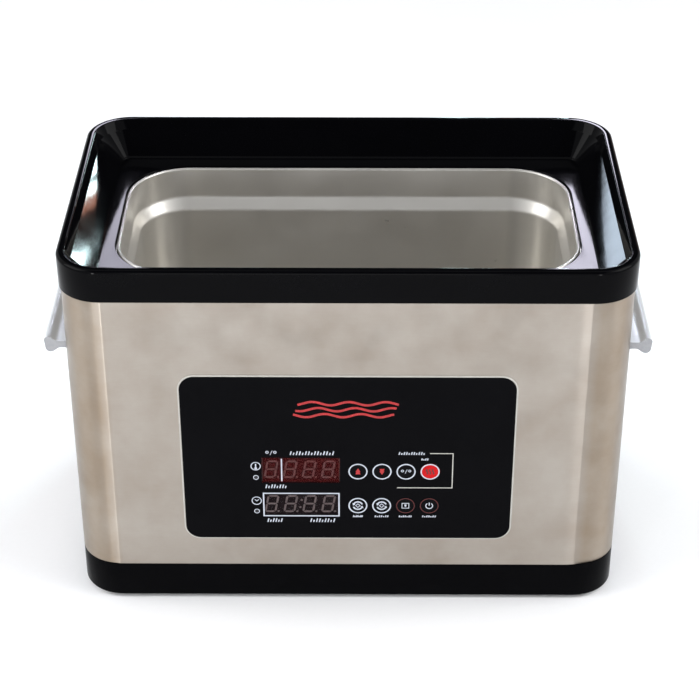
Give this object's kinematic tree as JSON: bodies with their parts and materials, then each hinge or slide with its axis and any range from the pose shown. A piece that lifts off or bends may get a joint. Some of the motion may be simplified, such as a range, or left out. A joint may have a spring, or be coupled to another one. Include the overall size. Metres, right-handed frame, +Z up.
{
  "type": "sous vide water bath",
  "caption": "Bench-top sous vide water bath with a stainless tank in a black rim, sheet-steel casing, side handles, and a front keypad with digit displays.",
  "frame": {"origin": "centre of the footprint, on the surface that the feet stand on", "axes": "+X to the right seen from the front, +Y from the keypad to the rear, +Z up"},
  "size_m": [0.401, 0.225, 0.262],
  "materials": {
    "black_abs": "high-gloss black moulding with fine handling scratches",
    "base_abs": "satin-gloss black moulding",
    "black_silicone": "matt black silicone",
    "black_rubber": "matt black rubber",
    "tank_steel": "satin deep-drawn stainless steel with a bright bead",
    "casing_steel": "fine horizontally brushed stainless sheet with faint smudges",
    "zinc_steel": "zinc plated",
    "screw_steel": "plain stainless",
    "galvanised_sheet": "galvanised, faint spangle",
    "heater_silicone": "woven glass and silicone laminate",
    "plain_aluminium": "mill finish",
    "handle_aluminium": "satin silver anodised extrusion with saw-cut ends",
    "glass_fibre": "needled glass-fibre blanket",
    "dark_phenolic": "matt black moulding",
    "glazed_ceramic": "off-white glaze",
    "frame_abs": "matt black moulding",
    "overlay_film": "black back-printed polyester film with a silver border and white graphics",
    "red_filter": "dark red transparent film",
    "smoked_filter": "dark reddish smoked transparent film with a white frame",
    "display_body": "black face with grey-pink unlit segments",
    "lamp_lens": "diffused clear epoxy",
    "circuit_board": "green solder mask",
    "ribbon_pvc": "grey flat cable",
    "key_film": "black printed film with a white ring",
    "red_key_film": "solid red printed film",
    "brass_post": "plain",
    "core_iron": "varnished laminations",
    "relay_blue": "moulded cover",
    "fuse_glass": "clear tube",
    "terminal_green": "moulded housing",
    "inlet_nylon": "black nylon",
    "pin_brass": "nickel-plated brass",
    "lead_brown": "PVC insulation",
    "lead_white": "silicone insulation"
  },
  "bodies": {
    "bath": {"top_rim": "black_abs", "tank_gasket": "black_silicone", "tank": "tank_steel", "tank_clamps": "zinc_steel", "tank_clamp_screws": "screw_steel", "casing": "casing_steel", "tie_rods": "zinc_steel", "tie_rod_nuts": "zinc_steel", "base_tray": "base_abs", "bottom_plate": "galvanised_sheet", "bottom_plate_screws": "screw_steel", "feet": "black_rubber", "foot_screws": "screw_steel", "heater_mat": "heater_silicone", "heater_clamp_plate": "plain_aluminium", "heater_nuts": "zinc_steel", "tank_insulation": "glass_fibre", "thermal_cutout": "dark_phenolic", "thermal_fuse": "glazed_ceramic", "temperature_probe": "screw_steel", "panel_frame": "frame_abs", "panel_nuts": "zinc_steel", "panel_overlay": "overlay_film", "temperature_window": "red_filter", "timer_window": "smoked_filter", "temperature_display": "display_body", "timer_display": "display_body", "indicator_lamps": "lamp_lens", "display_board": "circuit_board", "board_screws": "screw_steel", "tact_switches": "dark_phenolic", "buzzer": "dark_phenolic", "ribbon_cable": "ribbon_pvc", "power_board": "circuit_board", "board_posts": "brass_post", "transformer": "core_iron", "relay": "relay_blue", "heat_sink": "plain_aluminium", "triac": "dark_phenolic", "fuse_holder": "dark_phenolic", "fuse": "fuse_glass", "terminal_block": "terminal_green", "mains_inlet": "inlet_nylon", "inlet_pins": "pin_brass", "inlet_fixings": "screw_steel", "mains_leads": "lead_brown", "heater_leads": "lead_white", "left_handle": "handle_aluminium", "right_handle": "handle_aluminium", "handle_plates": "zinc_steel", "handle_screws": "screw_steel"},
    "key_raise": {"key_raise": "key_film"},
    "key_lower": {"key_lower": "key_film"},
    "key_units": {"key_units": "key_film"},
    "key_heat": {"key_heat": "red_key_film"},
    "key_hours": {"key_hours": "key_film"},
    "key_minutes": {"key_minutes": "key_film"},
    "key_preset": {"key_preset": "key_film"},
    "key_power": {"key_power": "key_film"}
  },
  "joints": [
    {"name": "press_raise", "type": "slide", "parent": "bath", "child": "key_raise", "axis": [0, 1, 0], "range_m": [0, 0.0004], "stiffness_N_per_m": 400, "springref_m": -0.002},
    {"name": "press_lower", "type": "slide", "parent": "bath", "child": "key_lower", "axis": [0, 1, 0], "range_m": [0, 0.0004], "stiffness_N_per_m": 400, "springref_m": -0.002},
    {"name": "press_units", "type": "slide", "parent": "bath", "child": "key_units", "axis": [0, 1, 0], "range_m": [0, 0.0004], "stiffness_N_per_m": 400, "springref_m": -0.002},
    {"name": "press_heat", "type": "slide", "parent": "bath", "child": "key_heat", "axis": [0, 1, 0], "range_m": [0, 0.0004], "stiffness_N_per_m": 400, "springref_m": -0.002},
    {"name": "press_hours", "type": "slide", "parent": "bath", "child": "key_hours", "axis": [0, 1, 0], "range_m": [0, 0.0004], "stiffness_N_per_m": 400, "springref_m": -0.002},
    {"name": "press_minutes", "type": "slide", "parent": "bath", "child": "key_minutes", "axis": [0, 1, 0], "range_m": [0, 0.0004], "stiffness_N_per_m": 400, "springref_m": -0.002},
    {"name": "press_preset", "type": "slide", "parent": "bath", "child": "key_preset", "axis": [0, 1, 0], "range_m": [0, 0.0004], "stiffness_N_per_m": 400, "springref_m": -0.002},
    {"name": "press_power", "type": "slide", "parent": "bath", "child": "key_power", "axis": [0, 1, 0], "range_m": [0, 0.0004], "stiffness_N_per_m": 400, "springref_m": -0.002}
  ]
}
